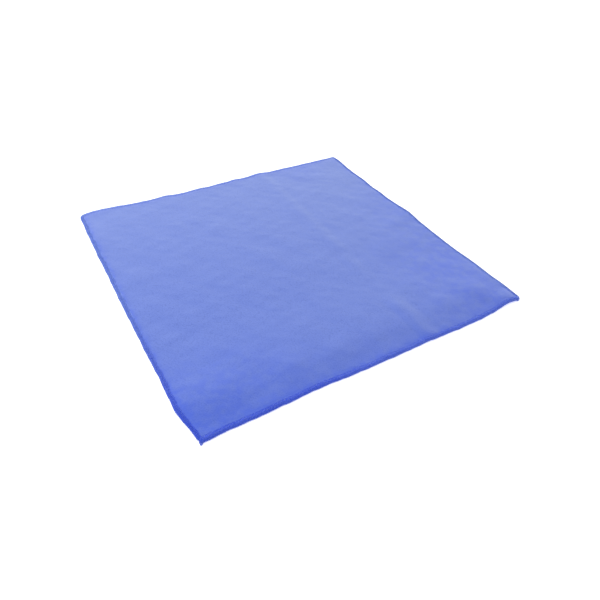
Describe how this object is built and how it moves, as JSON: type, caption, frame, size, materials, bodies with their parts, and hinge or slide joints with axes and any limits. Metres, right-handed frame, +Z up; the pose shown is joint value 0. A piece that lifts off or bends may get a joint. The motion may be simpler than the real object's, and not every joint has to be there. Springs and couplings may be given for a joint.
{
  "type": "microfibre cloth",
  "caption": "Square blue microfibre cleaning cloth lying open, slightly uneven, with a thin overlocked rim and low folds.",
  "frame": {"origin": "middle of the cloth's square, on the surface that it lies on", "axes": "+Z up from the surface, +X along the front edge to the right, +Y from the front edge to the back edge"},
  "size_m": [0.4029, 0.4076, 0.0063],
  "materials": {
    "microfibre": "matte"
  },
  "bodies": {
    "root": {"cloth": "microfibre"}
  },
  "joints": []
}
